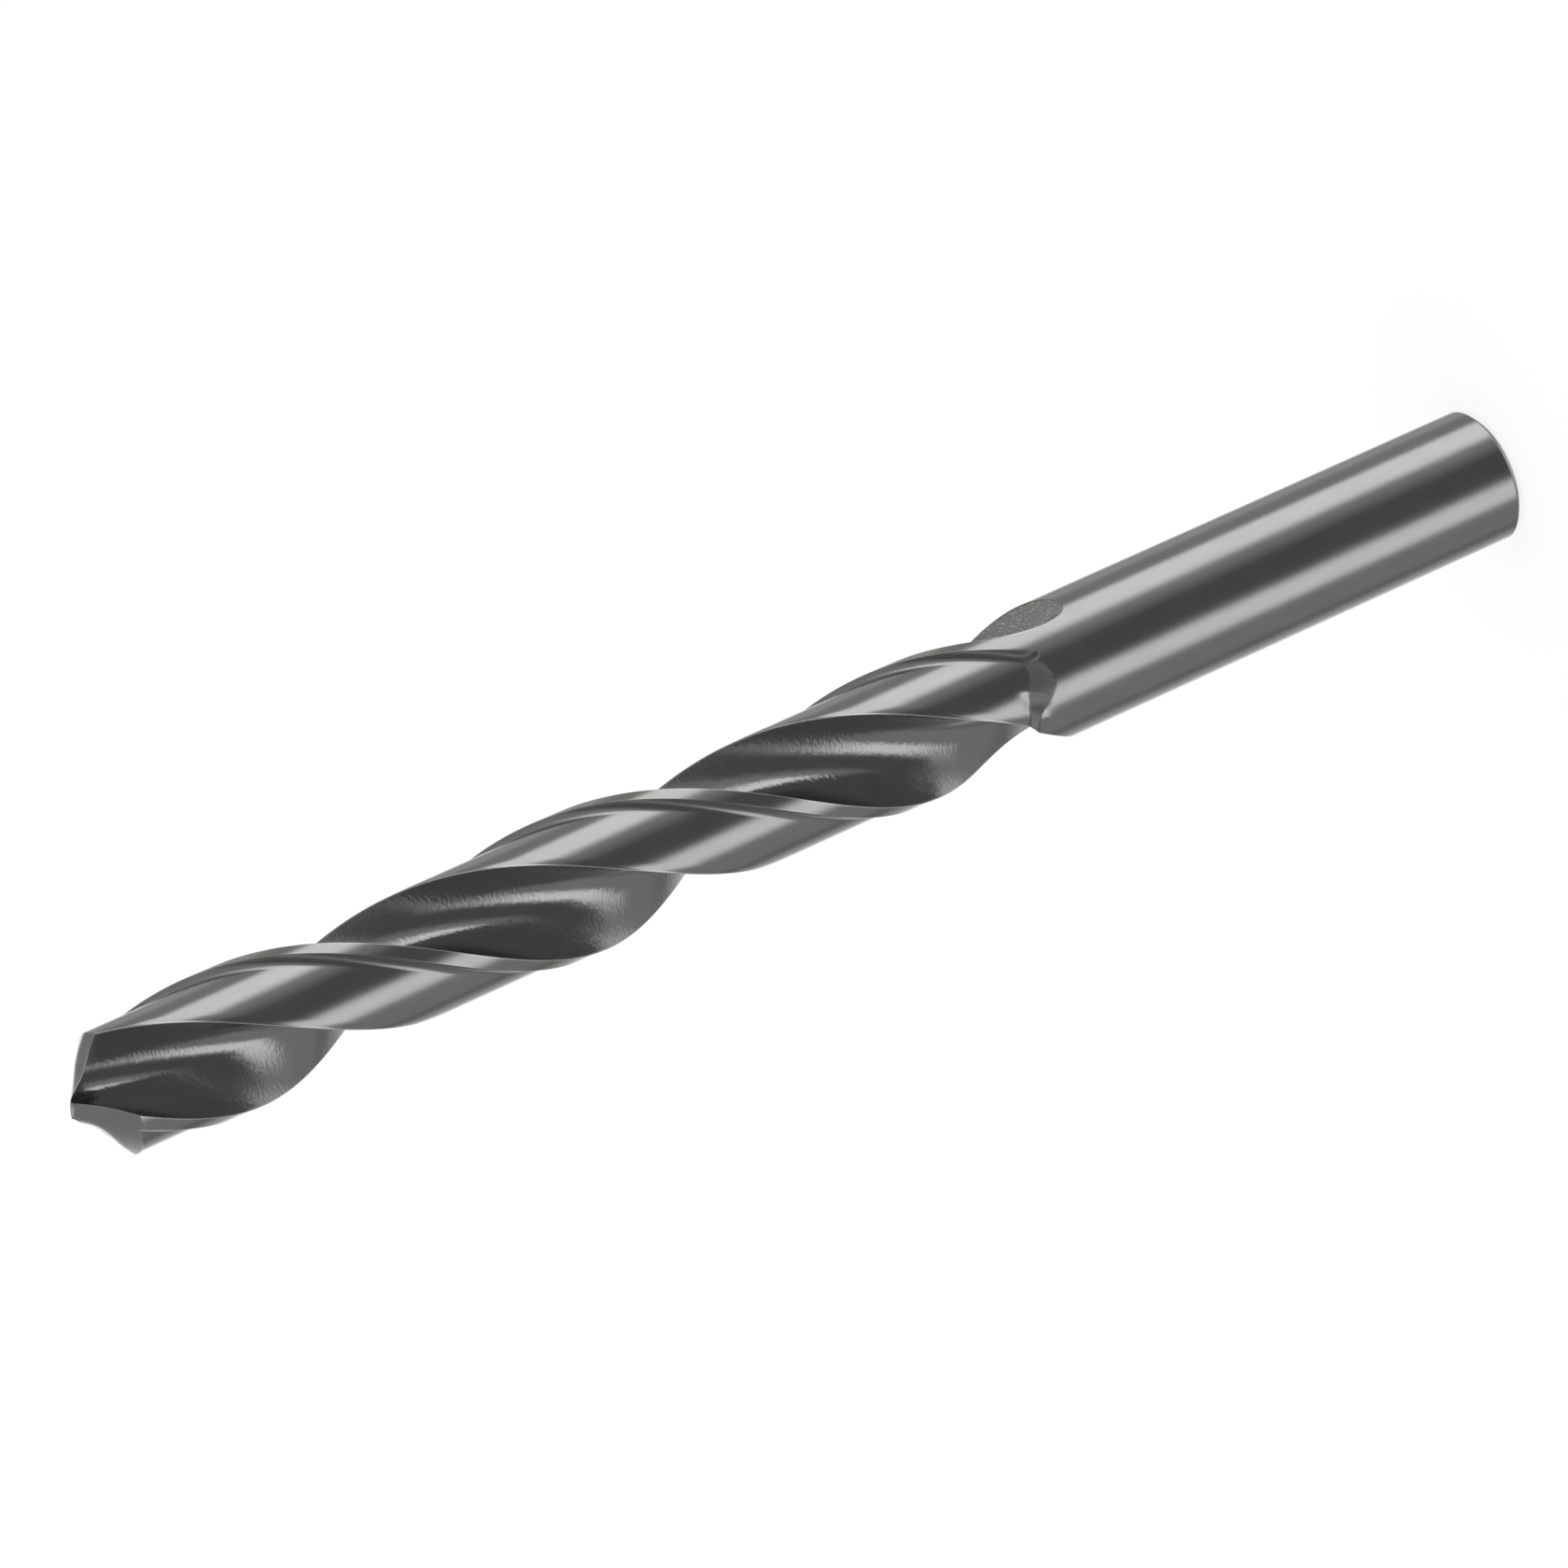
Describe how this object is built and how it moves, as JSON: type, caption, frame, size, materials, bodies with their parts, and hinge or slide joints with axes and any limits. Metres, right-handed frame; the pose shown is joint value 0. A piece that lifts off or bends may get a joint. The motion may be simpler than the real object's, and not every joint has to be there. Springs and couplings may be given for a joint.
{
  "type": "twist drill bit",
  "caption": "Twist drill bit with a plain parallel shank, two helical flutes with margins and body clearance, and a relieved point with a chisel edge.",
  "frame": {"origin": "centre of the shank's flat end face, on which the bit stands", "axes": "+Z along the drill's axis towards the point, +X along the first cutting lip"},
  "size_m": [0.013, 0.013, 0.151],
  "materials": {
    "drill_bit": "black oxide over ground high-speed steel, satin on the shank and semi-gloss in the flutes"
  },
  "bodies": {
    "root": {"drill_bit": "drill_bit"}
  },
  "joints": []
}
